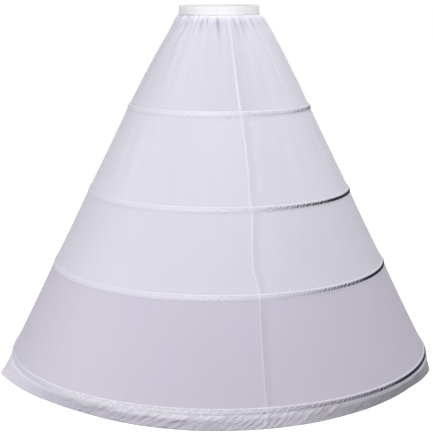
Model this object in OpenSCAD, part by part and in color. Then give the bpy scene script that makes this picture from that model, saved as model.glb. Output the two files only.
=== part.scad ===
// Hoop petticoat: a floor-length A-line underskirt held out by four steel hoops.
// Units are millimetres. +Z is up, the floor is z = 0 and the waist is centred on the Z axis.
// The front of the skirt faces -Y.

/* [Hoops] */
// Diameter of the top hoop, at the middle of its strip
hoop_1_d = 454; // [400:1:500]
// Diameter of the bottom hoop, at the middle of its strip
hoop_4_d = 1062; // [980:1:1120]
// Height of the top hoop above the floor
hoop_1_z = 655; // [620:1:700]
// Height of the second hoop above the floor
hoop_2_z = 447; // [400:1:500]
// Height of the third hoop above the floor
hoop_3_z = 264; // [220:1:320]
// Height of the bottom hoop above the floor
hoop_4_z = 38; // [34:1:60]
// Width of the coated steel strip
strip_w = 7; // [5:0.5:10]
// Thickness of the coated steel strip
strip_t = 1; // [0.8:0.1:2]
// Gap between the two ends of a hoop
strip_gap = 2; // [1:0.5:5]

/* [Ferrules] */
// Length of the sleeve that joins the two ends of a hoop
ferrule_l = 30; // [20:1:45]
// Wall of the sleeve
ferrule_wall = 0.4; // [0.4:0.1:1]
// Room between the sleeve and the strip
ferrule_fit = 0.1; // [0.05:0.05:0.2]

/* [Cloth] */
// Thickness of one layer of cloth
cloth_t = 0.8; // [0.6:0.1:1.1]
// Room between pieces that lie on each other
ease = 0.2; // [0.1:0.05:0.3]
// Angle of the front seam from the middle of the front, towards +X
seam_turn = 12; // [0:1:30]
// Length by which one tier laps behind the tier above it
lap = 10; // [8:1:12]

/* [Casings] */
// Height of a casing strip, measured down the slope
casing_h = 16; // [15:0.5:24]
// Room around the hoop's sleeve inside the casing
casing_play = 0.2; // [0.1:0.1:0.6]
// Inside radius of a casing's shoulders
casing_round = 1; // [0.6:0.1:1.2]

/* [Hem] */
// Distance by which the hem swings out from the top of its band to the floor
hem_flare = 7.5; // [2:0.5:16]
// Height of the turned-up hem inside
hem_turn = 20; // [12:1:24]

/* [Waist] */
// Overall height of the skirt
skirt_h = 905; // [860:1:960]
// Inside diameter of the waistband
waist_d = 190; // [160:1:220]
// Height of the waistband
band_h = 20; // [16:1:30]
// Thickness of the elastic in the waistband
elastic_t = 1.6; // [1.2:0.1:2.5]
// Depth of the slot that holds the gathered edge of the cloth
band_slot = 5; // [4:0.5:7]
// Depth of the two rows of stitching round the waistband
stitch_depth = 0.3; // [0.1:0.05:0.5]
// Width of a row of stitching
stitch_w = 1; // [0.6:0.1:1.5]

/* [Gathers] */
// Number of folds gathered into the waistband
gather_count = 36; // [24:2:40]
// Depth of a fold, from the middle of the cloth to its crest
gather_depth = 3; // [1:0.1:4]
// Drop below the waistband at which the folds are deepest
gather_peak = 18; // [12:1:30]
// Waviness left where the waistband pinches the folds
gather_pinch = 0.3; // [0.1:0.05:0.5]
// Drop over which the cloth swings out from the waistband to the slope of the skirt
flare_drop = 14; // [8:1:20]
// Fullness of the top tier, out from the straight slope
puff = 4; // [0:0.5:8]

/* [Hidden] */
$fn = 96;

cloth_white = [0.87, 0.86, 0.91];
band_white = [0.93, 0.93, 0.95];
elastic_white = [0.90, 0.90, 0.88];
strip_white = [0.96, 0.96, 0.96];
sleeve_steel = [0.72, 0.73, 0.75];

// The front of the skirt, and the two ends of the plane in which its left and right halves meet
front_angle = 270;
front_seam = front_angle + seam_turn;
back_seam = front_seam - 180;

// Segments in a quarter turn of a rounded edge
round_steps = 5;

// The straight slope that all four hoops and the cloth between them follow
hoop_zs = [hoop_1_z, hoop_2_z, hoop_3_z, hoop_4_z];
slope = atan((hoop_4_d - hoop_1_d) / 2 / (hoop_1_z - hoop_4_z));
down_slope = [sin(slope), -cos(slope)];
out_of_slope = [cos(slope), sin(slope)];

// The sleeve, and the channel that has room for it
sleeve_grow = ferrule_fit + ferrule_wall;
sleeve_t = strip_t + 2 * sleeve_grow;
sleeve_w = strip_w + 2 * sleeve_grow;
channel_t = sleeve_t + 2 * casing_play;
channel_w = sleeve_w + 2 * casing_play;
// Distance from the outer face of the cloth to the middle of a hoop's strip
hoop_seat = channel_t / 2;

// The waistband, from its inner wall outwards
waist_r = waist_d / 2;
slot_t = max(elastic_t, cloth_t + 2 * gather_pinch) + 2 * ease;
band_t = slot_t + 2 * cloth_t;
band_r = waist_r + band_t;
band_z = skirt_h - band_h;
elastic_r = waist_r + cloth_t + slot_t / 2;
elastic_bottom = band_z + band_slot + ease;
elastic_top = skirt_h - cloth_t - ease;
elastic_chamfer = elastic_t / 4;

// Polyhedron mesh of the gathered tier
steps_per_fold = 6;
half_steps = round(gather_count * steps_per_fold / 2);
gather_rows = 7;
// A second, slower wave that makes neighbouring folds differ
uneven_count = round(gather_count * 0.64);
uneven_share = 0.35;

function hoop_r(k) = hoop_1_d / 2 + (hoop_1_z - hoop_zs[k - 1]) * tan(slope);

// A point in the (radius, height) plane: s down the slope from hoop k, and d out from the cloth's outer face
function on_slope(k, s, d) =
    [hoop_r(k), hoop_zs[k - 1]] + s * down_slope + (d - hoop_seat) * out_of_slope;

// Points along an arc, from angle a to angle b
function arc(centre, r, a, b) = [
    for (i = [0 : round_steps])
        let (t = a + (b - a) * i / round_steps) centre + r * [cos(t), sin(t)]
];

// A flat bar with round edges, grown by g all round, in its own frame: x through it and y along its width
function bar_outline(thick, wide, g) =
    let (r = thick / 2 + g, c = wide / 2 - thick / 2)
    concat(
        arc([0, c], r, 0, 90), arc([0, c], r, 90, 180),
        arc([0, -c], r, 180, 270), arc([0, -c], r, 270, 360)
    );

// Moves an outline from the frame of hoop k's strip to the (radius, height) plane
function at_hoop(k, outline) = [for (p = outline) on_slope(k, p[1], hoop_seat + p[0])];

// The upper edge of a tier or of the hem band, where it laps behind the tier above hoop k and then steps out
function lap_outer(k) = [
    on_slope(k, -lap / 2, -cloth_t - ease),
    on_slope(k, lap / 2 + ease, -cloth_t - ease),
    on_slope(k, lap / 2 + 2 * ease + cloth_t, 0)
];
function lap_inner(k) = [
    on_slope(k, lap / 2 + 2 * ease + cloth_t, -cloth_t),
    on_slope(k, lap / 2 + ease, -2 * cloth_t - ease),
    on_slope(k, -lap / 2, -2 * cloth_t - ease)
];

// Half a turn of a profile: the right half runs from the front seam to the back seam by way of +X
module half_turn(side) {
    rotate_extrude(angle = 180, start = side == "right" ? front_seam : back_seam) children();
}

// Part of a turn of a profile, centred on the back seam
module arc_at_back(angle) {
    rotate_extrude(angle = angle, start = back_seam - angle / 2) children();
}

// Waistband: cloth folded over the elastic, open below for the gathered edge of the skirt
module waistband() {
    fold_r = band_t / 2;
    fold_mid = [waist_r + fold_r, skirt_h - fold_r];
    rows = [band_z + band_slot + stitch_w, skirt_h - band_t];
    stitch_rows = [
        for (z = [rows[1], rows[0]])
            each [[band_r, z + stitch_w / 2], [band_r - stitch_depth, z], [band_r, z - stitch_w / 2]]
    ];
    profile = concat(
        [[waist_r, band_z]],
        arc(fold_mid, fold_r, 180, 90), arc(fold_mid, fold_r, 90, 0),
        stitch_rows,
        [[band_r, band_z], [band_r - cloth_t, band_z]],
        [[band_r - cloth_t, elastic_top + ease - fold_r / 2]],
        [[waist_r + fold_r, elastic_top + ease]],
        [[waist_r + cloth_t, elastic_top + ease - fold_r / 2]],
        [[waist_r + cloth_t, band_z]]
    );
    color(band_white) rotate_extrude() polygon(profile);
}

// Elastic: a flat woven ring inside the waistband
module waist_elastic() {
    top = elastic_top - band_t / 4;
    x = elastic_t / 2;
    c = elastic_chamfer;
    color(elastic_white)
        rotate_extrude()
            translate([elastic_r, 0])
                polygon([
                    [-x + c, elastic_bottom], [x - c, elastic_bottom], [x, elastic_bottom + c],
                    [x, top - c], [x - c, top], [-x + c, top], [-x, top - c], [-x, elastic_bottom + c]
                ]);
}

// Height of the top tier at its two ends and where its gathers have died out
tier_1_top = band_z + band_slot;
tier_1_smooth = on_slope(1, -casing_h / 2, 0)[1];
tier_1_edge = on_slope(1, lap / 2, 0)[1];
gather_drop = band_z - tier_1_smooth;

// Radius of the straight slope's outer face at a height
function slope_r(z) = on_slope(1, 0, 0)[0] + (on_slope(1, 0, 0)[1] - z) * tan(slope);

// Outer radius of the top tier without its folds: pinched in at the waistband, full below it
slot_outer_r = elastic_r + cloth_t / 2;
function tier_1_r(z) =
    let (drop = band_z - z, along = drop / gather_drop)
    drop <= 0 ? slot_outer_r
    : z <= tier_1_smooth ? slope_r(z)
    : slope_r(z) + puff * sin(180 * along)
      - (slope_r(band_z) - slot_outer_r) * exp(-drop / flare_drop) * (1 - along);

// Depth of the folds at a height
function fold_depth(z) =
    let (drop = max(0, band_z - z), along = min(1, drop / gather_drop))
    (gather_pinch + gather_depth * drop / gather_peak * exp(1 - drop / gather_peak)) * (1 - along);

// Shape of the folds round the waist, from -1 to 1; it is the same on both sides of the seam plane
function fold_wave(turn) =
    (cos(gather_count * turn) + uneven_share * cos(uneven_count * turn)) / (1 + uneven_share);

// Heights of the mesh rows, close together under the waistband
tier_1_rows = concat(
    [tier_1_top],
    [for (i = [0 : gather_rows]) band_z - gather_drop * pow(i / gather_rows, 2)],
    [tier_1_edge]
);

function tier_1_skin(start, inset) = [
    for (z = tier_1_rows)
        for (j = [0 : half_steps])
            let (
                turn = j * 180 / half_steps,
                wall = z >= band_z ? cloth_t : cloth_t / cos(slope),
                r = tier_1_r(z) + fold_depth(z) * fold_wave(turn + (start - front_seam)) - inset * wall
            )
            [r * cos(start + turn), r * sin(start + turn), z]
];

// One gathered half of the top tier, as a closed sheet
module tier_1(side) {
    start = side == "right" ? front_seam : back_seam;
    points = concat(tier_1_skin(start, 0), tier_1_skin(start, 1));
    rows = len(tier_1_rows);
    across = half_steps + 1;
    inner = rows * across;
    last = (rows - 1) * across;
    // Two triangles on the corners a, b, c, d of a patch
    function patch(a, b, c, d) = [[a, b, c], [a, c, d]];
    skins = [
        for (i = [0 : rows - 2])
            for (j = [0 : half_steps - 1])
                let (a = i * across + j, b = a + 1, c = b + across, d = a + across)
                each concat(patch(a, b, c, d), patch(inner + b, inner + a, inner + d, inner + c))
    ];
    edges = [
        for (j = [0 : half_steps - 1])
            each concat(
                patch(j + 1, j, inner + j, inner + j + 1),
                patch(last + j, last + j + 1, inner + last + j + 1, inner + last + j)
            )
    ];
    ends = [
        for (i = [0 : rows - 2])
            let (a = i * across, d = a + across, b = a + half_steps, c = b + across)
            each concat(patch(a, d, inner + d, inner + a), patch(c, b, inner + b, inner + c))
    ];
    color(cloth_white) polyhedron(points = points, faces = concat(skins, edges, ends));
}

// One half of a lower tier: a plain sheet that laps behind the tier above and ends behind casing k
module tier(k, side) {
    color(cloth_white)
        half_turn(side)
            polygon(concat(
                lap_outer(k - 1),
                [on_slope(k, lap / 2, 0), on_slope(k, lap / 2, -cloth_t)],
                lap_inner(k - 1)
            ));
}

// One half of the hem band: laps behind tier 4, hangs to the floor and turns up inside
module hem_band(side) {
    outer = lap_outer(4);
    shoulder = outer[2];
    hem_r = shoulder[0] + hem_flare;
    turned = 2 * cloth_t + ease;
    // Outer radius of the hem at a height
    function hem_face(z) = hem_r + (shoulder[0] - hem_r) * z / shoulder[1];
    color(cloth_white)
        half_turn(side)
            polygon(concat(
                outer,
                [[hem_r, 0], [hem_r - turned, 0]],
                [[hem_face(hem_turn) - turned, hem_turn], [hem_face(hem_turn) - cloth_t - ease, hem_turn]],
                [[hem_face(cloth_t) - cloth_t - ease, cloth_t], [hem_face(cloth_t) - cloth_t, cloth_t]],
                lap_inner(4)
            ));
}

// One half of casing k: a strip sewn down along both edges, with a channel for the hoop
module casing(k, side) {
    wall = channel_w / 2;
    inner_round = casing_round;
    outer_round = casing_round + cloth_t;
    roof_mid = channel_t - casing_round;
    edge = casing_h / 2;
    // In the strip's own frame: x is out from the cloth's outer face and y is down the slope
    outline = concat(
        [[ease, -edge], [ease, -wall]],
        arc([roof_mid, -wall + casing_round], inner_round, 270, 360),
        arc([roof_mid, wall - casing_round], inner_round, 0, 90),
        [[ease, wall], [ease, edge], [ease + cloth_t, edge], [ease + cloth_t, wall + cloth_t]],
        arc([roof_mid, wall - casing_round], outer_round, 90, 0),
        arc([roof_mid, -wall + casing_round], outer_round, 360, 270),
        [[ease + cloth_t, -wall - cloth_t], [ease + cloth_t, -edge]]
    );
    color(cloth_white)
        half_turn(side) polygon([for (p = outline) on_slope(k, p[1], p[0])]);
}

// Hoop k: a coated steel strip, almost a full turn, with its ends at the back
module hoop(k) {
    gap = strip_gap / hoop_r(k) * 180 / PI;
    color(strip_white)
        rotate_extrude(angle = 360 - gap, start = back_seam + gap / 2)
            polygon(at_hoop(k, bar_outline(strip_t, strip_w, 0)));
}

// Ferrule k: the flattened sleeve over the two ends of hoop k
module ferrule(k) {
    outside = at_hoop(k, bar_outline(strip_t, strip_w, sleeve_grow));
    inside = at_hoop(k, bar_outline(strip_t, strip_w, ferrule_fit));
    n = len(outside);
    color(sleeve_steel)
        arc_at_back(ferrule_l / hoop_r(k) * 180 / PI)
            polygon(
                points = concat(outside, inside),
                paths = [[for (i = [0 : n - 1]) i], [for (i = [0 : n - 1]) n + i]]
            );
}

waistband();
waist_elastic();
for (side = ["left", "right"]) {
    tier_1(side);
    hem_band(side);
}
for (k = [2 : 4]) for (side = ["left", "right"]) {
    tier(k, side);
}
for (k = [1 : 4]) {
    for (side = ["left", "right"]) {
        casing(k, side);
    }
    hoop(k);
    ferrule(k);
}
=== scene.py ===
import math

import bpy
import numpy as np
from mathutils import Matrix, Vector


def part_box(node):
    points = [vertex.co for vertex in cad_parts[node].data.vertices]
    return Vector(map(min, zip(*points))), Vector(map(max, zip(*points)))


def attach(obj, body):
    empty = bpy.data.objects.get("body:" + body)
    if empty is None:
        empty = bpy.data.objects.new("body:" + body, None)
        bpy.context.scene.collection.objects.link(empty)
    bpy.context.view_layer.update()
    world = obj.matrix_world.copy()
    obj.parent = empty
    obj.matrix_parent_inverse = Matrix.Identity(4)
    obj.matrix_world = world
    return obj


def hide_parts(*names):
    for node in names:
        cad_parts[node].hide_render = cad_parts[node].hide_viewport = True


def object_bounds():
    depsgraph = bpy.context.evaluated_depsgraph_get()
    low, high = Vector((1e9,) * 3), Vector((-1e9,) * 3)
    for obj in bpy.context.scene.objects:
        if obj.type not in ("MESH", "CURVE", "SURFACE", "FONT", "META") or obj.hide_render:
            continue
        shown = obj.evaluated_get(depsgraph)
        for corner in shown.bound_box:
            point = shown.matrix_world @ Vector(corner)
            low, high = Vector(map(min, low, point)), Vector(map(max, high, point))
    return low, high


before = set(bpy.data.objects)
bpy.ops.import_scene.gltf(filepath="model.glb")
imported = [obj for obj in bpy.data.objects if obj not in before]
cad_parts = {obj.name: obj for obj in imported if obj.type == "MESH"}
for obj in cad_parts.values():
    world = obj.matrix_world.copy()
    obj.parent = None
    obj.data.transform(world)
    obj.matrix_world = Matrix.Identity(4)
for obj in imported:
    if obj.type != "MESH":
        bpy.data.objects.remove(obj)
cad_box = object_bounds()

# Sizes, in metres and radians unless a name says otherwise
MM = 0.001
TURN = 2 * math.pi

# Cloth
CLOTH = 0.7 * MM
HOOP_SEAT = 1.2 * MM        # from the cloth's outer face to the middle of a hoop
LAP = 10 * MM               # how far a tier reaches up behind the tier above
LAP_STEP = 0.9 * MM         # how far it lies behind that tier's face
CASING_HEIGHT = 16 * MM     # measured down the slope
CASING_LIFT = 1.4 * MM      # how far the cloth stands out beside a casing
EDGE_SHARE = 0.3            # thickness of a casing's sewn edges, as a share of the cloth's

# The front seam wanders a little from its straight line: height, and drift to the viewer's right
FRONT_SEAM = math.radians(12)
SEAM_DRIFT = (
    (0.000, -11 * MM), (0.040, -7 * MM), (0.158, -1 * MM), (0.262, 3 * MM), (0.283, 2 * MM),
    (0.325, -4 * MM), (0.373, 1 * MM), (0.434, 6 * MM), (0.454, 4 * MM), (0.527, 9 * MM),
    (0.590, 9 * MM), (0.634, 5 * MM), (0.662, 4 * MM), (0.759, 2 * MM), (0.890, 1 * MM),
)

# Waist
WAIST_TOP = cad_box[1].z
BAND_LOW, BAND_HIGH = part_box("waistband")
BAND_BOTTOM = BAND_LOW.z
BAND_R = BAND_HIGH.x
BAND_INNER_R = BAND_R - 4 * MM
SLOT_R = BAND_R - 1.5 * MM  # outer face of the gathered edge, inside the waistband
FRONT_DIP = 4.5 * MM        # how much lower the waist lies at the front than at the back


def ring_of(node):
    """Middle radius and height of a round CAD piece."""
    points = np.array([v.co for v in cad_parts[node].data.vertices])
    radii = np.hypot(points[:, 0], points[:, 1])
    heights = points[:, 2]
    return (radii.min() + radii.max()) / 2, (heights.min() + heights.max()) / 2


HOOPS = {k: ring_of(f"hoop_{k}") for k in (1, 2, 3, 4)}
TOP_R, TOP_Z = HOOPS[1]
SLOPE = math.atan2(HOOPS[4][0] - TOP_R, TOP_Z - HOOPS[4][1])
SIN_SLOPE, COS_SLOPE = math.sin(SLOPE), math.cos(SLOPE)
# Distance of each hoop down the slope from the top hoop
HOOP_ALONG = {k: (TOP_Z - z) / COS_SLOPE for k, (_, z) in HOOPS.items()}


def smooth(value, low, high):
    """0 below low, 1 above high, and an even curve between."""
    t = np.clip((value - low) / (high - low), 0.0, 1.0)
    return t * t * (3.0 - 2.0 * t)


def bell(value, width):
    """1 at 0, and fading to both sides."""
    return np.exp(-((value / width) ** 2))


def waves(azimuth, along, seed, turns, lengths, count=12):
    """Soft uneven waves, from about -1 to 1, that close round the skirt."""
    draw = np.random.default_rng(seed)
    total = np.zeros(np.broadcast(azimuth, along).shape)
    for _ in range(count):
        turn = draw.integers(*turns)
        rate = draw.choice((-1, 1)) * TURN / draw.uniform(*lengths)
        total += np.cos(turn * azimuth + rate * along + draw.uniform(0, TURN))
    return total / math.sqrt(count)


def slope_point(along, out):
    """Radius and height of a point down the slope from the top hoop and out from the cloth's face."""
    radius = TOP_R + along * SIN_SLOPE + (out - HOOP_SEAT) * COS_SLOPE
    height = TOP_Z - along * COS_SLOPE + (out - HOOP_SEAT) * SIN_SLOPE
    return radius, height


def lift(from_hoop):
    """How far the cloth stands out beside a hoop's casing; it lies flat under the hoop."""
    beside = np.abs(from_hoop)
    settled = np.exp(-np.maximum(beside - CASING_HEIGHT / 2, 0) / (55 * MM))
    return CASING_LIFT * smooth(beside, 3.9 * MM, 5.5 * MM) * settled


def in_space(azimuth, radius, height):
    """Azimuth 0 is the middle of the front, and it grows to the viewer's right."""
    azimuth, radius, height = np.broadcast_arrays(azimuth, radius, height)
    return np.stack((radius * np.sin(azimuth), -radius * np.cos(azimuth), height), axis=-1)


def front_degrees(azimuth):
    """Degrees from the middle of the front, from -180 to 180."""
    return np.degrees(azimuth + math.pi) % 360 - 180


def stations(*stretches):
    """Places along a strip; each stretch is (start, end, step)."""
    parts = [np.linspace(a, b, max(2, round((b - a) / step) + 1))[:-1] for a, b, step in stretches]
    return np.concatenate([*parts, [stretches[-1][1]]])


def columns(length, step):
    """Places from 0 to 1 along a half turn, closer together beside the two seams."""
    edge = np.array([0, 1, 2, 3.2, 4.8, 7, 10]) * MM / length
    middle = np.linspace(edge[-1], 1 - edge[-1], round(length / step))
    return np.concatenate((edge[:-1], middle, 1 - edge[-2::-1]))


def half_turn(side, places, radius, height):
    """Azimuths of a half's columns, and their distances from the front and the back seam."""
    heights, drifts = zip(*SEAM_DRIFT)
    front = FRONT_SEAM + np.interp(height, heights, drifts) / radius
    back = FRONT_SEAM + math.pi
    if side == "left":
        back = back - TURN
    start, end = (front, back) if side == "right" else (back, front)
    azimuth = start + (end - start) * places
    return azimuth, (azimuth - front) * radius, (azimuth - back) * radius


def seam_welt(from_seam, along):
    """The ridge of a seam, puckered along its length, with a hollow to its right."""
    ridge = 1.3 * MM * bell(from_seam, 2.4 * MM)
    hollow = 0.5 * MM * bell(from_seam - 8 * MM, 6 * MM) * smooth(from_seam, 0, 5 * MM)
    pucker = np.sin(along * TURN / (23 * MM) + 2.0 * np.sin(along / (55 * MM)))
    return ridge - hollow + 0.10 * MM * pucker * bell(from_seam, 12 * MM)


def seam_tone(from_seam, strength=1.0):
    """Painted highlight on the seam, where its edges lie double, and painted shade a little to its
    right.
    """
    grey = 0.07 * bell(from_seam - 10 * MM, 8 * MM) * smooth(from_seam, 0, 4 * MM)
    return grey - 0.75 * strength * bell(from_seam, 2.1 * MM)


# How much painted light makes each tier's flanks paler than its front, at the viewer's left and right
PALE_FLANKS = {1: (0.12, 0.26), 2: (0.36, 0.28), 3: (0.20, 0.0), 4: (0.17, 0.0)}


def flank_tone(k, turn):
    """Painted light towards a tier's two sides, and plain again at the back."""
    left, right = PALE_FLANKS[k]
    at_side = smooth(np.abs(turn), 18, 48) * (1 - smooth(np.abs(turn), 95, 125))
    return -np.where(turn < 0, left, right) * at_side


def crease(x, y, start, end, depth, width):
    """A valley from start to end that fades at both ends; x and y run along and down the cloth."""
    run = np.subtract(end, start)
    length = math.hypot(*run)
    along = ((x - start[0]) * run[0] + (y - start[1]) * run[1]) / length
    aside = ((y - start[1]) * run[0] - (x - start[0]) * run[1]) / length
    fade = smooth(along, 0, 0.4 * length) * (1 - smooth(along, 0.6 * length, length))
    return -depth * fade * bell(aside, width)


def activate(obj):
    bpy.ops.object.select_all(action="DESELECT")
    obj.select_set(True)
    bpy.context.view_layer.objects.active = obj


def closed_cloth(name, points, across, down, tone=0.0, crumple=0.0, thin_edges=False, joined=False):
    """A cloth piece of even thickness from a grid of points on its outer face.

    Rows run down and columns to the viewer's right; across and down are the cloth's own
    coordinates in metres, and a joined piece runs all the way round. Tone marks painted shade,
    where the cloth's colour is darkened (to 1), and painted light, where it is paled (to -1), in
    places where the cloth also lies double; crumple marks where it is finely wrinkled.
    """
    rows, cols = points.shape[:2]
    steps = cols if joined else cols - 1
    i, j = np.meshgrid(np.arange(rows - 1), np.arange(steps), indexing="ij")
    right = (j + 1) % cols
    corners = ((i, j, j), (i + 1, j, j), (i + 1, right, j + 1), (i, right, j + 1))
    quads = np.stack([row * cols + col for row, col, _ in corners], axis=-1).reshape(-1, 4)
    mesh = bpy.data.meshes.new(name)
    mesh.from_pydata(points.reshape(-1, 3).tolist(), [], quads.tolist())
    layer = mesh.uv_layers.new(name="cloth")
    cloth_uv = np.stack([np.stack((across[u], down[row]), axis=-1) for row, _, u in corners], axis=2)
    layer.data.foreach_set("uv", cloth_uv.astype(np.float32).ravel())
    for label, values in (("tone", tone), ("crumple", crumple)):
        mark = mesh.attributes.new(label, "FLOAT", "POINT")
        mark.data.foreach_set("value", np.broadcast_to(values, (rows, cols)).astype(np.float32).ravel())
    obj = bpy.data.objects.new(name, mesh)
    bpy.context.scene.collection.objects.link(obj)
    activate(obj)
    wall = obj.modifiers.new("thickness", "SOLIDIFY")
    wall.thickness = CLOTH
    wall.offset = -1
    if thin_edges:
        group = obj.vertex_groups.new(name="thickness")
        group.add(list(range(cols, (rows - 1) * cols)), 1.0, "REPLACE")
        group.add([*range(cols), *range((rows - 1) * cols, rows * cols)], EDGE_SHARE, "REPLACE")
        wall.vertex_group = group.name
    bpy.ops.object.modifier_apply(modifier=wall.name)
    bpy.ops.object.shade_smooth_by_angle(angle=math.radians(60))
    return obj


# Top tier, gathered into the waistband

# Folds that show at the front: azimuth in degrees, depth, length below the waistband and lean
FRONT_FOLDS = (
    (-40, 3.6 * MM, 22 * MM, -0.35), (-22, 6.0 * MM, 22 * MM, 0.0), (-15, 3.2 * MM, 18 * MM, -0.1),
    (-3, 6.2 * MM, 34 * MM, 0.12), (7, 2.2 * MM, 20 * MM, 0.1), (17, 3.4 * MM, 40 * MM, 0.25),
    (27, 4.4 * MM, 34 * MM, 0.1), (41, 3.4 * MM, 26 * MM, 0.2), (-60, 2.4 * MM, 26 * MM, -0.25),
    (58, 2.4 * MM, 30 * MM, 0.25),
)
SIDE_FOLDS = 22
FOLD_R = 0.130              # radius of the folds, at which the columns are spaced
TOP_MIDDLE_R = 0.160        # radius at which the cloth's width is measured
FLARE_DROP = 45 * MM        # drop over which the cloth swings out to the slope
FULL_PINCH = 10.5 * MM      # how far the waistband pulls the cloth in from the slope
LEFT_PINCH = 4.5 * MM       # and how much more at the viewer's left
LEFT_HOLLOW = 7 * MM        # how far the left side lies in from the slope, further down
BAND_FLARE = 1.5 * MM       # how far the waistband's lower edge stands out
PUFF = 0.5 * MM             # fullness of the tier, out from the straight slope


def gather_folds():
    """All folds round the waist: those seen at the front, then others round the sides and back."""
    folds = [(math.radians(a), depth, length, lean) for a, depth, length, lean in FRONT_FOLDS]
    draw = np.random.default_rng(11)
    for n in range(SIDE_FOLDS):
        share = (n + 0.5 + draw.uniform(-0.3, 0.3)) / SIDE_FOLDS
        azimuth = math.radians(72) + share * math.radians(360 - 72 - 76)
        folds.append((azimuth, draw.uniform(1.4, 3.6) * MM, draw.uniform(22, 46) * MM,
                      draw.uniform(-0.2, 0.2)))
    return folds


def gathered(azimuth, radius, drop):
    """How far folds and small puffs move the cloth out under the waistband, and their painted shade and
    light.
    """
    below = np.maximum(drop, 0)
    out = np.zeros(azimuth.shape)
    for at, depth, length, lean in gather_folds():
        turn = (azimuth - at + math.pi) % TURN - math.pi
        aside = turn * radius - lean * below
        width = 2.0 * MM + 0.08 * below
        reach = below / (13 * MM) * np.exp(1 - below / (13 * MM))
        tail = np.exp(-below / (1.6 * length))
        valley = bell(aside, width) - 0.45 * bell(np.abs(aside) - 2.1 * width, width)
        out -= depth * (0.45 * reach + 0.65 * tail) * smooth(below, 2 * MM, 12 * MM) * valley
    ruffle = np.cos(58 * azimuth + 2.2 * waves(azimuth, 0 * azimuth, 5, (6, 23), (1, 2)))
    puffs = below / (7 * MM) * np.exp(1 - below / (7 * MM))
    # Painted shade in the fold valleys and between the puffs, and painted light just below the waistband
    dark = 0.26 * smooth(-out, 0.25 * MM, 3.2 * MM) * smooth(below, 5 * MM, 14 * MM)
    dark *= np.exp(-below / (120 * MM))
    dark += 0.16 * puffs * smooth(-ruffle, -0.2, 1.0) - 0.85 * bell(below, 9 * MM)
    return out + (0.25 + 1.8 * puffs) * MM * ruffle, dark


def top_tier_tone(azimuth, drop):
    """Painted shade in the middle of the front, fine streaks of uneven tone, and painted light on the
    flanks.
    """
    turn = front_degrees(azimuth)
    grey = 0.075 * smooth(turn, -32, 0) * (1 - smooth(turn, 26, 44)) * smooth(drop, 10 * MM, 28 * MM)
    fading = np.exp(-np.maximum(drop, 0) / (80 * MM))
    streaks = 0.035 * waves(azimuth, 0.3 * drop, 23, (28, 80), (0.5, 1.5)) * fading
    return grey + streaks + flank_tone(1, turn) * smooth(drop, 20 * MM, 60 * MM)


def top_tier_radius(side, places, drop, height, share):
    """Radius without folds: pulled in by the waistband, then swinging out to the straight slope."""
    face_r, face_z = slope_point(0, 0)
    straight = face_r + (face_z - height) * math.tan(SLOPE)
    top_straight = face_r + (face_z - BAND_BOTTOM) * math.tan(SLOPE)
    below = np.maximum(drop, 0)
    azimuth = FRONT_SEAM + math.pi * (places if side == "right" else places - 1)
    at_left = np.maximum(0, -np.sin(azimuth))
    full = FULL_PINCH + LEFT_PINCH * at_left
    tight = top_straight - SLOT_R - BAND_FLARE - full
    pinch = (tight * np.exp(-below / (2 * MM)) + full * np.exp(-below / FLARE_DROP)) * (1 - share)
    hollow = LEFT_HOLLOW * at_left * smooth(share, 0, 0.2) * (1 - share)
    radius = straight + PUFF * np.sin(math.pi * share) - pinch - hollow
    in_band = SLOT_R + BAND_FLARE * (1 - smooth(-drop, 0, 5 * MM))
    return np.where(drop <= 0, in_band, radius)


def top_tier_points(side):
    gather_drop = BAND_BOTTOM - (TOP_Z + CASING_HEIGHT / 2 * COS_SLOPE)
    last_drop = BAND_BOTTOM - slope_point(LAP / 2, 0)[1]
    drops = stations(
        (-5 * MM, 0, 1.7 * MM), (0, 30 * MM, 1.5 * MM), (30 * MM, 70 * MM, 3 * MM),
        (70 * MM, gather_drop - 20 * MM, 6 * MM), (gather_drop - 20 * MM, last_drop, 3 * MM),
    )
    places = columns(math.pi * FOLD_R, 1.7 * MM)
    drop, u = np.meshgrid(drops, places, indexing="ij")
    height = BAND_BOTTOM - drop
    share = np.clip(drop / gather_drop, 0, 1)
    radius = top_tier_radius(side, u, drop, height, share)
    azimuth, from_front, from_back = half_turn(side, u, radius, height)
    alive = 1 - smooth(share, 0.75, 0.97)
    folds, fold_tone = gathered(azimuth, radius, drop)
    out = folds * alive * smooth(drop, -4 * MM, 5 * MM)
    calm = smooth(drop, 20 * MM, 90 * MM) * alive
    out += 0.9 * MM * waves(azimuth, drop, 21, (10, 34), (0.4, 1.2)) * calm
    out += 0.12 * MM * waves(azimuth, drop, 22, (50, 110), (0.3, 1.0)) * calm
    welt = smooth(drop, 2 * MM, 14 * MM)
    out += (seam_welt(from_front, drop) + seam_welt(from_back, drop)) * welt
    out += lift((TOP_Z - height) / COS_SLOPE) / COS_SLOPE
    dip = FRONT_DIP * (0.5 + 0.5 * np.cos(azimuth)) * (1 - smooth(drop, 0, 60 * MM))
    points = in_space(azimuth, radius + out, height - dip)
    seam = seam_tone(from_front) * welt * (0.35 + 0.65 * smooth(drop, 60 * MM, 190 * MM))
    tone = fold_tone + top_tier_tone(azimuth, drop) + seam
    return points, places * math.pi * TOP_MIDDLE_R, drops / COS_SLOPE, tone


# Lower tiers

# Drag wrinkles below the top casing, beside the seam: azimuth in degrees and distance down, twice
DRAG_WRINKLES = (
    (-9, 13 * MM, -3, 19 * MM), (-2, 15 * MM, 3, 26 * MM), (4, 12 * MM, 8, 24 * MM),
    (9, 13 * MM, 13, 40 * MM), (20, 12 * MM, 15, 30 * MM), (26, 14 * MM, 21, 24 * MM),
)
# Width of a tier's columns, and height of its soft waves
TIER_STEP = {2: 5.0 * MM, 3: 5.5 * MM, 4: 6.0 * MM}
TIER_WAVES = {2: 0.35 * MM, 3: 0.50 * MM, 4: 0.35 * MM}


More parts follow.
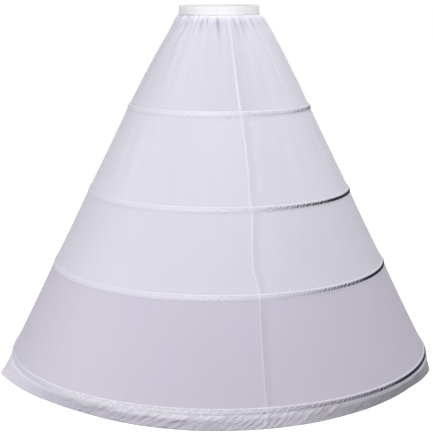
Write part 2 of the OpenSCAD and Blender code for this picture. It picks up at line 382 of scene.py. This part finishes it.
def tier_points(k, side):
    above, below = HOOP_ALONG[k - 1], HOOP_ALONG[k]
    along = stations(
        (above - LAP / 2, above + 14 * MM, 2 * MM), (above + 14 * MM, above + 44 * MM, 3 * MM),
        (above + 44 * MM, below - 24 * MM, 7 * MM), (below - 24 * MM, below + LAP / 2, 3 * MM),
    )
    middle_r = (HOOPS[k - 1][0] + HOOPS[k][0]) / 2
    places = columns(math.pi * middle_r, TIER_STEP[k])
    s, u = np.meshgrid(along, places, indexing="ij")
    radius, height = slope_point(s, 0)
    azimuth, from_front, from_back = half_turn(side, u, radius, height)
    under = s - above
    behind = -LAP_STEP * (1 - smooth(under, LAP / 2, LAP / 2 + 2.5 * MM))
    free = smooth(under, 9 * MM, 50 * MM) * (1 - smooth(s, below - 50 * MM, below - 9 * MM))
    out = TIER_WAVES[k] * waves(azimuth, s, 30 + k, (12, 44), (0.35, 1.2)) * free
    out += 0.07 * MM * waves(azimuth, s, 40 + k, (60, 110), (0.3, 1.2)) * free
    eased = smooth(under, 8 * MM, 12 * MM) * np.exp(-np.maximum(under - 12 * MM, 0) / (16 * MM))
    out -= 0.15 * MM * (1 + waves(azimuth, 0.7 * s, 50 + k, (70, 150), (0.03, 0.09))) * eased
    if k == 2:
        for a1, s1, a2, s2 in DRAG_WRINKLES:
            start = (math.radians(a1) * HOOPS[1][0], s1)
            end = (math.radians(a2) * HOOPS[1][0], s2)
            out += crease(azimuth * HOOPS[1][0], under, start, end, 1.1 * MM, 3.2 * MM)
    out += (seam_welt(from_front, s) + seam_welt(from_back, s)) * free
    out += lift(under) + lift(s - below)
    radius, height = slope_point(s, behind + out)
    points = in_space(azimuth, radius, height)
    near = np.exp(-np.maximum(under, 0) / (28 * MM)) + np.exp(-np.maximum(below - s, 0) / (28 * MM))
    strength = (0.45 if k == 4 else 1.0) * (0.6 + 0.5 * near)
    turn = front_degrees(azimuth)
    tone = seam_tone(from_front, strength) + flank_tone(k, turn)
    pucker = bell(turn - 8, 45) * np.exp(-np.maximum(under, 0) / (22 * MM))
    crumple = 0.03 + 0.05 * near + 0.12 * pucker
    return points, places * math.pi * middle_r, along - along[0], tone, crumple


# Hoop casings

# Section of a casing: distance down from the hoop and out from the cloth, resting and drooping
RESTING = np.array((
    (-8, 0.3), (-6.8, 0.8), (-6.0, 2.0), (-5.4, 2.85), (-4.9, 3.05), (-4.3, 2.95), (-3.7, 2.75),
    (-2.2, 2.62), (-0.2, 2.6), (1.8, 2.6), (3.7, 2.5), (4.5, 2.1), (5.2, 1.5), (6.4, 0.8), (8, 0.3),
)) * MM
DROOPING = np.array((
    (-8, 0.3), (-6.8, 0.8), (-6.0, 2.0), (-5.4, 2.85), (-4.9, 3.1), (-4.3, 3.05), (-3.7, 2.95),
    (-2.2, 2.95), (-0.2, 3.0), (1.8, 3.05), (3.8, 3.1), (4.8, 2.8), (5.3, 2.2), (6.0, 1.2), (8, 0.3),
)) * MM
RIDGE = -4.9 * MM
TUCK_LENGTH = 9.5 * MM
# Degrees at which painted shade begins to show between a casing's tucks, degrees at which it
# becomes a solid painted shadow line, and how darkly
PAINTED_SHADE_FROM = {1: (38, 70, 0.60), 2: (10, 49, 1.0), 3: (17, 52, 1.0), 4: (6, 49, 0.95)}


def crumpled(turn):
    """Share of fine wrinkles round the hem: few at the viewer's far left and right."""
    share = 0.06 + 0.54 * smooth(turn, -48, -33) + 0.40 * smooth(turn, -20, 12)
    return share * (1 - 0.5 * smooth(turn, 50, 66))


def casing_tone(k, azimuth, s, tuck):
    """Painted highlight on ridge and flanks, some where cloth lies double; painted shade at the tucks.
    """
    turn = front_degrees(azimuth)
    begins, line, dark = PAINTED_SHADE_FROM[k]
    shown = 1 - smooth(turn, 90, 120)
    right = smooth(turn, -25, 8) * shown
    below_ridge = smooth(s, -3.0 * MM, -1.4 * MM) * (1 - smooth(s, 4.0 * MM, 5.6 * MM))
    # Painted shade between the tucks, running into a solid painted shadow line towards the side
    dashes = (0.20 + dark * smooth(turn, begins, line)) * right * smooth(1 - tuck, 0.1, 0.6)
    solid = dark * smooth(turn, line - 4, line + 8) * shown
    tone = (np.maximum(dashes, solid) - 0.5 * tuck * right * (1 - solid)) * below_ridge

    # Painted highlight over the middle and lower flank where the casing lies calm, and along the lower
    # edge where it droops; some of the middle lies double
    calm = 1 - smooth(turn, -8, 24) * shown
    pale = 0.5 + 0.5 * smooth(turn, -50, -35) if k == 4 else 1.0
    doubled_and_highlight, flank_highlight, end = (0.60, 0.75, 0.0) if k == 4 else (0.52, 0.30, 0.7)
    middle = doubled_and_highlight * smooth(s, -4 * MM, -3 * MM) * (1 - smooth(s, 3 * MM, 8 * MM))
    flank = flank_highlight * smooth(s, 3 * MM, 4.5 * MM) * (1 - end * smooth(s, 6.2 * MM, 8 * MM))
    lower_edge = 0.7 * smooth(s, 5.2 * MM, 6.4 * MM) * (1 - end * smooth(s, 6.4 * MM, 8 * MM))
    tone -= pale * (calm * (middle + flank) + (1 - calm) * lower_edge)
    uneven = 0.85 + 0.25 * waves(azimuth, 0 * azimuth, 76 + k, (40 * k, 110 * k), (1, 2))
    # Painted highlight along the ridge
    return tone - uneven * bell(s - RIDGE, 1.5 * MM)


def casing_points(k, side):
    hoop_r, hoop_z = HOOPS[k]
    places = columns(math.pi * hoop_r, 2.5 * MM)
    v, u = np.meshgrid(np.arange(len(RESTING)), places, indexing="ij")
    azimuth, from_front, from_back = half_turn(side, u, hoop_r, hoop_z)
    turn = front_degrees(azimuth)
    droop = smooth(turn, 0, 60) * (1 - smooth(turn, 120, 170))
    s = RESTING[v, 0] * (1 - droop) + DROOPING[v, 0] * droop
    out = RESTING[v, 1] * (1 - droop) + DROOPING[v, 1] * droop
    raised = smooth(out, 1.2 * MM, 2.4 * MM)

    # The bottom casing runs out gently to the hem
    edge_gap, inner_gap, rough = 0.3 * MM, 0.8 * MM, 0.25 * MM
    if k == 4:
        edge_gap, inner_gap, rough = 0.22 * MM, 0.45 * MM, 0.45 * MM
        out = np.where(s > 3.6 * MM, np.maximum(out, 2.5 * MM - 0.23 * (s - 3.7 * MM)), out)
    sewn_edge = np.abs(s) > CASING_HEIGHT / 2 - 0.1 * MM
    out = np.maximum(out, np.where(sewn_edge, edge_gap, inner_gap) + lift(s))
    over_sleeve = 1 - smooth(np.abs(from_back), 18 * MM, 32 * MM)
    out += 0.5 * MM * over_sleeve * raised

    # Small slanting tucks along the lower half, most of them at the viewer's right
    jitter = 1.8 * waves(azimuth, 0 * azimuth, 60 + k, (30, 90), (1, 2))
    phase = TURN * (azimuth * hoop_r + 1.1 * s) / TUCK_LENGTH + jitter
    tuck = bell(np.sin(phase / 2), 0.5)
    lively = 0.12 + 0.88 * smooth(turn, -30, 10) * (1 - smooth(turn, 70, 90))
    lively += 0.4 * smooth(np.abs(turn), 110, 150)
    lower = smooth(s, -2 * MM, 3 * MM) * (1 - smooth(s, 5.5 * MM, 8 * MM))
    out += 1.3 * MM * tuck * lower * lively
    uneven = waves(azimuth, s, 70 + k, (50 + 20 * k, 100 + 60 * k), (0.02, 0.05))
    out += rough * (0.6 + uneven) * raised
    out -= 0.3 * MM * (bell(from_front, 2.2 * MM) + bell(from_back, 2.2 * MM)) * raised

    radius, height = slope_point(HOOP_ALONG[k] + s, out)
    lengths = np.concatenate(([0], np.cumsum(np.hypot(*np.diff(RESTING, axis=0).T))))
    # Painted highlight along the front seam, where its edges lie double
    tone = casing_tone(k, azimuth, s, tuck) - 0.6 * bell(from_front, 2.0 * MM)
    crumple = 0.7 * crumpled(turn) * raised if k == 4 else 0.2 * raised
    return in_space(azimuth, radius, height), places * math.pi * hoop_r, lengths, tone, crumple


# Hem band

HEM_R = cad_box[1].x
HEM_SHOULDER = 7.5 * MM     # where the hem leaves the slope, down from the bottom hoop
HEM_TURN = 20 * MM          # height of the turned-up edge inside
HEM_FOLD = 2.2 * MM         # thickness of the fold at the floor
# Painted shade greys the hem at the viewer's right
HEM_SHADE = 0.54            # how much greyer the hem is at the viewer's right
CREASES = 240

# How far the loose hem stands out from its even circle: azimuth in degrees, and distance
HEM_PLAN = (
    (-180, 0 * MM), (-120, -2 * MM), (-97, -8 * MM), (-85, 2 * MM), (-79, 14 * MM), (-74, 28 * MM),
    (-69, 19 * MM), (-63, 11 * MM), (-56, 3 * MM), (-47, -6 * MM), (-35, -9 * MM), (-18, 2 * MM),
    (-6, 6 * MM), (8, 4 * MM), (20, 0 * MM), (34, -8 * MM), (48, -12 * MM), (60, -11 * MM),
    (69, 0 * MM), (76, 7 * MM), (84, -2 * MM), (97, -9 * MM), (120, -3 * MM), (180, 0 * MM),
)


def hem_radius(azimuth):
    """The hem swings out at both sides, most at the viewer's left."""
    turns, stand = zip(*HEM_PLAN)
    turn = front_degrees(azimuth)
    spread = np.linspace(-1.5, 1.5, 5)
    softened = sum(np.interp(turn + d, turns, stand) for d in spread) / len(spread)
    return HEM_R + softened


def hem_creases(x, y):
    """Slanting wrinkles: long and low to the left of the seam, short and steep to its right."""
    draw = np.random.default_rng(7)
    out = np.zeros(np.broadcast(x, y).shape)
    for _ in range(CREASES):
        at = draw.uniform(-1.0, 1.0) * math.pi * HEM_R
        steep = 0.3 + 1.0 * float(smooth(at, 0.0, 0.2))
        run = draw.uniform(14, 44) * MM / (0.5 + steep)
        top = draw.uniform(4, 20) * MM
        life = 0.10 + 0.90 * float(smooth(at, -0.42, -0.30))
        start = (at, top + steep * run / 2)
        end = (at + run, top - steep * run / 2)
        depth = draw.uniform(-1.5, 1.7) * MM
        width = draw.uniform(3.0, 4.6) * MM
        out += life * crease(x, y, start, end, depth, width)
    return out


def hem_tone(turn, share, wrinkle, from_front):
    """Painted light at the top and seam; painted shade in creases, in the middle and at the right."""
    top = smooth(share, 0.05, 0.35) - 1
    creases = np.clip(-60 * wrinkle, -0.20, 0.12)
    right = HEM_SHADE * smooth(turn, 10, 70) * (1 - smooth(turn, 95, 125))
    middle = 0.23 * bell(turn + 9, 24)
    return top + creases + right + middle + 0.6 * seam_tone(from_front)


def hem_points(side):
    """The hem's lap behind tier 4, its face down to the floor, the fold there and the turned-up edge."""
    lap = HOOP_ALONG[4]
    shoulder_r, shoulder_z = slope_point(lap + HEM_SHOULDER, CASING_LIFT)
    fold_r = HEM_FOLD / 2
    places = columns(math.pi * HEM_R, 3.0 * MM)
    top = stations((lap - LAP / 2, lap + HEM_SHOULDER, 2.5 * MM))
    rows, tones = [], []
    for s in top:
        azimuth, *_ = half_turn(side, places, *slope_point(s, 0))
        behind = -LAP_STEP * (1 - smooth(s - lap, LAP / 2, HEM_SHOULDER))
        rows.append(in_space(azimuth, *slope_point(s, behind + lift(s - lap))))
        # Painted light on the lap, as at the hem's top
        tones.append(0 * azimuth - 1.0)
    for share in stations((0, 1, 0.07))[1:]:
        height = shoulder_z + (fold_r - shoulder_z) * share
        azimuth, from_front, from_back = half_turn(side, places, shoulder_r, height)
        radius = shoulder_r + (hem_radius(azimuth) - shoulder_r) * share
        turn = front_degrees(azimuth)
        wrinkle = hem_creases(np.radians(turn) * HEM_R, share * shoulder_z)
        out = wrinkle + seam_welt(from_front, height) + seam_welt(from_back, height)
        out += 0.45 * MM * waves(azimuth, height, 81, (24, 60), (0.06, 0.2))
        free = smooth(share, 0.0, 0.3) * (1 - smooth(share, 0.85, 1.0))
        rows.append(in_space(azimuth, radius + out * free, height))
        tones.append(hem_tone(turn, share, wrinkle, from_front))
    azimuth, *_ = half_turn(side, places, shoulder_r, 0.0)
    low = hem_radius(azimuth)
    for angle in np.radians((45, 90, 135, 180)):
        radius = low - fold_r + fold_r * math.cos(angle)
        rows.append(in_space(azimuth, radius, fold_r - fold_r * math.sin(angle)))
    lean = (low - shoulder_r) / (shoulder_z - fold_r)
    for share in stations((0, 1, 0.2))[1:]:
        height = fold_r + (HEM_TURN - fold_r) * share
        rows.append(in_space(azimuth, low - HEM_FOLD - lean * (height - fold_r), height))
    points = np.stack(rows)
    tones += [tones[-1]] * (len(rows) - len(tones))
    middle = points[:, points.shape[1] // 2]
    down = np.concatenate(([0], np.cumsum(np.linalg.norm(np.diff(middle, axis=0), axis=1))))
    below_lap = smooth(np.arange(len(rows)), len(top) - 2, len(top))[:, None]
    crumple = crumpled(front_degrees(azimuth)) * below_lap
    return points, places * math.pi * HEM_R, down, np.stack(tones), crumple


# Waistband

SHIRRS = 92
BAND_COLUMNS = 560
BAND_HEIGHT = WAIST_TOP - BAND_BOTTOM
STITCH_ROWS = (0.50 * BAND_HEIGHT, 0.86 * BAND_HEIGHT)


def band_points():
    """The waistband's section: up its inner face, over the fold and down its stitched outer face."""
    azimuth = np.linspace(0, TURN, BAND_COLUMNS, endpoint=False)
    ruffle = np.cos(SHIRRS * azimuth + 2.0 * waves(azimuth, 0 * azimuth, 91, (9, 31), (1, 2)))
    bottom = BAND_BOTTOM - FRONT_DIP * (0.5 + 0.5 * np.cos(azimuth))
    fold_r = (BAND_R - BAND_INNER_R) / 2
    fold_up = BAND_HEIGHT - fold_r
    turn = front_degrees(azimuth)
    # Painted shade in the stitch grooves towards the viewer's right
    shaded = 0.12 * smooth(turn, 20, 50) * (1 - smooth(turn, 95, 120))
    rows, tones = [], []
    for up in np.linspace(0, fold_up, 8):
        rows.append(in_space(azimuth, BAND_INNER_R - 0.2 * MM * ruffle, bottom + up))
        tones.append(0 * azimuth)
    for angle in np.radians((150, 120, 90, 60, 30)):
        radius = BAND_INNER_R + fold_r + fold_r * math.cos(angle)
        rows.append(in_space(azimuth, radius, bottom + fold_up + fold_r * math.sin(angle)))
        tones.append(0 * azimuth)
    for up in np.linspace(fold_up, 0, 22):
        groove = sum(bell(up - row, 0.9 * MM) for row in STITCH_ROWS)
        swell = 0.35 * MM * (1 - groove) * math.sin(math.pi * min(1, up / BAND_HEIGHT + 0.08))
        flare = BAND_FLARE * (1 - up / BAND_HEIGHT) ** 1.5
        out = swell + flare - 0.3 * MM * groove + 0.35 * MM * ruffle * (1 - 0.6 * groove)
        rows.append(in_space(azimuth, BAND_R - 0.3 * MM + out, bottom + up))
        # Painted shade in the grooves, and painted light along the lower edge
        tones.append(shaded * groove - 0.3 * (1 - smooth(up, 0, 3 * MM)))
    # Columns run the other way round here, so that the outer face points outwards
    points = np.stack(rows)[:, ::-1]
    tone = np.stack(tones)[:, ::-1]
    down = np.concatenate(([0], np.cumsum(np.linalg.norm(np.diff(points[:, 0], axis=0), axis=1))))
    across = np.linspace(0, TURN * BAND_R, BAND_COLUMNS + 1)
    return points, across, down, tone


# Materials

SKIRT_WHITE = (0.716, 0.705, 0.802)
# A darker copy of the skirt taffeta: painted shade for the bottom tier and its casing
LOW_SHADED_WHITE = (0.641, 0.605, 0.718)
HEM_WHITE = (0.759, 0.729, 0.845)
CASING_WHITE = (0.709, 0.697, 0.795)
BAND_WHITE = (0.950, 0.950, 0.980)
# Painted highlight colour for paled cloth, some of it where the cloth lies double
DOUBLED_AND_HIGHLIGHT_WHITE = (0.880, 0.868, 0.948)
# Painted shadow colour, towards which the tone mark darkens the cloth
STRIP_SHADOW = (0.014, 0.012, 0.022)
THREAD = 0.35 * MM


def new_material(name):
    material = bpy.data.materials.new(name)
    material.use_nodes = True
    nodes, links = material.node_tree.nodes, material.node_tree.links
    return material, nodes, links, nodes["Principled BSDF"]


def add_node(nodes, kind, **values):
    node = nodes.new(kind)
    for key, value in values.items():
        setattr(node, key, value)
    return node


def stretched_noise(nodes, links, source, scale, detail=3.0):
    mapping = nodes.new("ShaderNodeMapping")
    mapping.inputs["Scale"].default_value = scale
    noise = nodes.new("ShaderNodeTexNoise")
    noise.inputs["Scale"].default_value = 1.0
    noise.inputs["Detail"].default_value = detail
    links.new(source, mapping.inputs["Vector"])
    links.new(mapping.outputs["Vector"], noise.inputs["Vector"])
    return noise.outputs["Fac"]


def mixed_colour(nodes, links, factor, first, second):
    mix = add_node(nodes, "ShaderNodeMix", data_type="RGBA")
    links.new(factor, mix.inputs["Factor"])
    for socket, value in ((mix.inputs[6], first), (mix.inputs[7], second)):
        if isinstance(value, tuple):
            socket.default_value = (*value, 1)
        else:
            links.new(value, socket)
    return mix.outputs[2]


def ramp(nodes, links, factor, low, high):
    """Spreads the part of a factor from low to high over 0 to 1."""
    node = nodes.new("ShaderNodeMapRange")
    node.inputs["From Min"].default_value = low
    node.inputs["From Max"].default_value = high
    links.new(factor, node.inputs["Value"])
    return node.outputs["Result"]


def weave_bump(nodes, links, uv, slub):
    """Height of a plain weave, with a share of thicker slub threads."""
    total = None
    for direction in ("X", "Y"):
        wave = add_node(nodes, "ShaderNodeTexWave", wave_type="BANDS", bands_direction=direction)
        wave.inputs["Scale"].default_value = TURN / (20 * 2 * THREAD)
        links.new(uv, wave.inputs["Vector"])
        if total is None:
            total = wave.outputs["Fac"]
        else:
            add = add_node(nodes, "ShaderNodeMath", operation="ADD")
            links.new(total, add.inputs[0])
            links.new(wave.outputs["Fac"], add.inputs[1])
            total = add.outputs[0]
    scaled = add_node(nodes, "ShaderNodeMath", operation="MULTIPLY_ADD")
    links.new(slub, scaled.inputs[0])
    scaled.inputs[1].default_value = 3.0
    links.new(total, scaled.inputs[2])
    return scaled.outputs[0]


def crumple_bump(nodes, links, uv):
    """Normal of fine slanting wrinkles, where the cloth is marked as crumpled."""
    slant = add_node(nodes, "ShaderNodeMapping", vector_type="TEXTURE")
    slant.inputs["Rotation"].default_value = (0, 0, math.radians(-42))
    slant.inputs["Scale"].default_value = (0.034, 0.010, 1)
    links.new(uv, slant.inputs["Vector"])
    noise = nodes.new("ShaderNodeTexNoise")
    noise.inputs["Scale"].default_value = 1.0
    noise.inputs["Detail"].default_value = 2.0
    links.new(slant.outputs["Vector"], noise.inputs["Vector"])
    mark = add_node(nodes, "ShaderNodeAttribute", attribute_name="crumple").outputs["Fac"]
    centred = add_node(nodes, "ShaderNodeMath", operation="SUBTRACT")
    links.new(noise.outputs["Fac"], centred.inputs[0])
    centred.inputs[1].default_value = 0.5
    height = add_node(nodes, "ShaderNodeMath", operation="MULTIPLY")
    links.new(centred.outputs[0], height.inputs[0])
    links.new(mark, height.inputs[1])
    bump = nodes.new("ShaderNodeBump")
    bump.inputs["Strength"].default_value = 1.0
    bump.inputs["Distance"].default_value = 6 * MM
    links.new(height.outputs[0], bump.inputs["Height"])
    return bump.outputs["Normal"]


def cloth_material(name, colour, gloss=0.25, sheen=0.12):
    material, nodes, links, shader = new_material(name)
    uv = nodes.new("ShaderNodeTexCoord").outputs["UV"]
    mottle = ramp(nodes, links, stretched_noise(nodes, links, uv, (9, 6, 1)), 0.35, 0.65)
    slub = stretched_noise(nodes, links, uv, (420, 9, 1), 2.0)
    warm = tuple(c * k for c, k in zip(colour, (1.012, 0.994, 0.982)))
    base = mixed_colour(nodes, links, mottle, colour, warm)
    streak = ramp(nodes, links, slub, 0.55, 0.85)
    pale = tuple(min(1.0, 1.03 * c) for c in colour)
    base = mixed_colour(nodes, links, streak, base, pale)
    # The tone mark paints light and shade into the colour: painted highlight towards the pale white,
    # painted shadow towards the dark
    tone = add_node(nodes, "ShaderNodeAttribute", attribute_name="tone").outputs["Fac"]
    base = mixed_colour(nodes, links, ramp(nodes, links, tone, 0, -1), base, DOUBLED_AND_HIGHLIGHT_WHITE)
    base = mixed_colour(nodes, links, ramp(nodes, links, tone, 0, 1), base, STRIP_SHADOW)
    links.new(base, shader.inputs["Base Color"])
    bump = nodes.new("ShaderNodeBump")
    bump.inputs["Strength"].default_value = 0.25
    bump.inputs["Distance"].default_value = 0.1 * MM
    links.new(weave_bump(nodes, links, uv, slub), bump.inputs["Height"])
    links.new(crumple_bump(nodes, links, uv), bump.inputs["Normal"])
    links.new(bump.outputs["Normal"], shader.inputs["Normal"])
    shader.inputs["Roughness"].default_value = 0.62
    shader.inputs["Specular IOR Level"].default_value = gloss
    shader.inputs["Sheen Weight"].default_value = sheen
    shader.inputs["Sheen Roughness"].default_value = 0.4
    return material


def elastic_material():
    material, nodes, links, shader = new_material("woven_elastic")
    place = nodes.new("ShaderNodeTexCoord").outputs["Object"]
    ribs = add_node(nodes, "ShaderNodeTexWave", wave_type="BANDS", bands_direction="Z")
    ribs.inputs["Scale"].default_value = TURN / (20 * 1.4 * MM)
    links.new(place, ribs.inputs["Vector"])
    colour = mixed_colour(nodes, links, ribs.outputs["Fac"], (0.70, 0.70, 0.66), (0.82, 0.82, 0.79))
    links.new(colour, shader.inputs["Base Color"])
    bump = nodes.new("ShaderNodeBump")
    bump.inputs["Strength"].default_value = 0.5
    bump.inputs["Distance"].default_value = 0.3 * MM
    links.new(ribs.outputs["Fac"], bump.inputs["Height"])
    links.new(bump.outputs["Normal"], shader.inputs["Normal"])
    shader.inputs["Roughness"].default_value = 0.7
    return material


def strip_material():
    material, nodes, links, shader = new_material("coated_strip")
    place = nodes.new("ShaderNodeTexCoord").outputs["Object"]
    scuff = ramp(nodes, links, stretched_noise(nodes, links, place, (60, 60, 900), 4.0), 0.45, 0.75)
    colour = mixed_colour(nodes, links, scuff, (0.86, 0.86, 0.85), (0.76, 0.76, 0.75))
    links.new(colour, shader.inputs["Base Color"])
    links.new(ramp(nodes, links, scuff, -1.2, 2.4), shader.inputs["Roughness"])
    return material


def ferrule_material():
    material, nodes, links, shader = new_material("plain_steel")
    place = nodes.new("ShaderNodeTexCoord").outputs["Object"]
    grain = stretched_noise(nodes, links, place, (90, 90, 2600), 3.0)
    colour = mixed_colour(nodes, links, grain, (0.50, 0.51, 0.53), (0.66, 0.67, 0.69))
    links.new(colour, shader.inputs["Base Color"])
    bump = nodes.new("ShaderNodeBump")
    bump.inputs["Strength"].default_value = 0.2
    bump.inputs["Distance"].default_value = 0.05 * MM
    links.new(grain, bump.inputs["Height"])
    links.new(bump.outputs["Normal"], shader.inputs["Normal"])
    shader.inputs["Metallic"].default_value = 1.0
    shader.inputs["Roughness"].default_value = 0.34
    return material


SKIRT_CLOTH = cloth_material("skirt_taffeta", SKIRT_WHITE)
# Painted shade: the bottom tier and its casing take the darker copy of the taffeta
LOW_CLOTH = cloth_material("shaded_low_skirt_taffeta", LOW_SHADED_WHITE)
HEM_CLOTH = cloth_material("hem_taffeta", HEM_WHITE)
CASING_CLOTH = cloth_material("casing_taffeta", CASING_WHITE, gloss=0.06, sheen=0.0)
LOW_CASING_CLOTH = cloth_material("shaded_low_casing_taffeta", LOW_SHADED_WHITE, gloss=0.06, sheen=0.0)
BAND_CLOTH = cloth_material("band_cloth", BAND_WHITE)


# Putting the pieces on the frame

def seat(obj, node, material):
    obj.data.materials.clear()
    obj.data.materials.append(material)
    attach(obj, "root")
    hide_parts(node)


for half in ("left", "right"):
    top_tier = closed_cloth(f"top_tier_{half}", *top_tier_points(half))
    seat(top_tier, f"tier_1_{half}", SKIRT_CLOTH)

    for k in (2, 3, 4):
        panel = closed_cloth(f"tier_{k}_cloth_{half}", *tier_points(k, half))
        seat(panel, f"tier_{k}_{half}", LOW_CLOTH if k == 4 else SKIRT_CLOTH)

    for k in HOOPS:
        grid = casing_points(k, half)
        strip = closed_cloth(f"casing_{k}_cloth_{half}", *grid, thin_edges=True)
        seat(strip, f"casing_{k}_{half}", LOW_CASING_CLOTH if k == 4 else CASING_CLOTH)

    hem = closed_cloth(f"hem_band_cloth_{half}", *hem_points(half))
    seat(hem, f"hem_band_{half}", HEM_CLOTH)

band = closed_cloth("waistband_cloth", *band_points(), joined=True)
seat(band, "waistband", BAND_CLOTH)

strip_finish = strip_material()
sleeve_finish = ferrule_material()
finishes = {"waist_elastic": elastic_material()}
for k in HOOPS:
    finishes[f"hoop_{k}"] = strip_finish
    finishes[f"ferrule_{k}"] = sleeve_finish
for node, material in finishes.items():
    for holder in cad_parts[node].material_slots:
        holder.material = material


# Floor, world, lights and camera

def background_share(nodes, links):
    """1 for a ray that should see the plain background, 0 for light that falls on the object."""
    path = nodes.new("ShaderNodeLightPath")
    largest = path.outputs["Is Camera Ray"]
    for name in ("Is Glossy Ray", "Is Transmission Ray"):
        pick = add_node(nodes, "ShaderNodeMath", operation="MAXIMUM")
        links.new(largest, pick.inputs[0])
        links.new(path.outputs[name], pick.inputs[1])
        largest = pick.outputs[0]
    return largest


FLOOR_PAINT = 0.25
FLOOR_GLOW = 0.96
AMBIENT = 0.164


def add_floor():
    bpy.ops.object.select_all(action="DESELECT")
    bpy.ops.mesh.primitive_plane_add(size=40, location=(0, 0, 0))
    floor = bpy.context.object
    floor.name = "floor"
    material = bpy.data.materials.new("pale_floor")
    material.use_nodes = True
    nodes, links = material.node_tree.nodes, material.node_tree.links
    nodes.clear()
    paint = nodes.new("ShaderNodeBsdfDiffuse")
    paint.inputs["Color"].default_value = (FLOOR_PAINT, FLOOR_PAINT, FLOOR_PAINT, 1)
    glow = nodes.new("ShaderNodeEmission")
    strength = add_node(nodes, "ShaderNodeMath", operation="MULTIPLY")
    strength.inputs[1].default_value = FLOOR_GLOW
    links.new(background_share(nodes, links), strength.inputs[0])
    links.new(strength.outputs[0], glow.inputs["Strength"])
    both = nodes.new("ShaderNodeAddShader")
    links.new(paint.outputs[0], both.inputs[0])
    links.new(glow.outputs[0], both.inputs[1])
    out = nodes.new("ShaderNodeOutputMaterial")
    links.new(both.outputs[0], out.inputs["Surface"])
    floor.data.materials.append(material)


def add_world():
    world = bpy.data.worlds.new("studio")
    bpy.context.scene.world = world
    world.use_nodes = True
    nodes, links = world.node_tree.nodes, world.node_tree.links
    background = nodes["Background"]
    background.inputs["Color"].default_value = (1, 1, 1, 1)
    level = nodes.new("ShaderNodeMapRange")
    level.inputs["To Min"].default_value = AMBIENT
    level.inputs["To Max"].default_value = 1.0
    links.new(background_share(nodes, links), level.inputs["Value"])
    links.new(level.outputs["Result"], background.inputs["Strength"])


def add_softbox(name, place, target, size, power):
    light = bpy.data.lights.new(name, "AREA")
    light.shape = "SQUARE"
    light.size = size
    light.energy = power
    lamp = bpy.data.objects.new(name, light)
    lamp.location = place
    aim = np.subtract(target, place)
    lamp.rotation_euler = (math.acos(-aim[2] / np.linalg.norm(aim)), 0, math.atan2(-aim[0], aim[1]))
    bpy.context.scene.collection.objects.link(lamp)


# The photograph's focal length and height, in its own pixels
FOCAL_PX = 1153.6
IMAGE_HEIGHT_PX = 441


def add_camera():
    """The photograph's view: from the waist's height, tilted down to the hem."""
    lens = bpy.data.cameras.new("camera")
    lens.sensor_width = 36
    lens.lens = lens.sensor_width * FOCAL_PX / IMAGE_HEIGHT_PX
    camera = bpy.data.objects.new("camera", lens)
    camera.location = (0, -2.912, 0.931)
    camera.rotation_euler = (math.radians(90 - 11.119), 0, math.radians(0.122))
    bpy.context.scene.collection.objects.link(camera)
    bpy.context.scene.camera = camera


add_floor()
add_world()
add_softbox("top", (0.0, -0.9, 2.6), (0, 0, 0.4), 2.0, 22.2)
add_softbox("right", (1.4, -1.8, 2.0), (0, 0, 0.5), 1.2, 24.6)
add_softbox("left", (-1.8, -1.4, 0.8), (0, 0, 0.4), 1.0, 21.1)
add_softbox("side", (2.0, -1.2, 1.2), (0, 0, 0.4), 1.2, 5.8)
add_softbox("over", (0, 0.2, 2.8), (0, 0, 0.4), 2.5, 3.6)
add_softbox("back", (0.0, 2.6, 1.0), (0, 0, 0.4), 1.6, 30.0)
add_camera()
bpy.context.scene.view_settings.view_transform = "Standard"
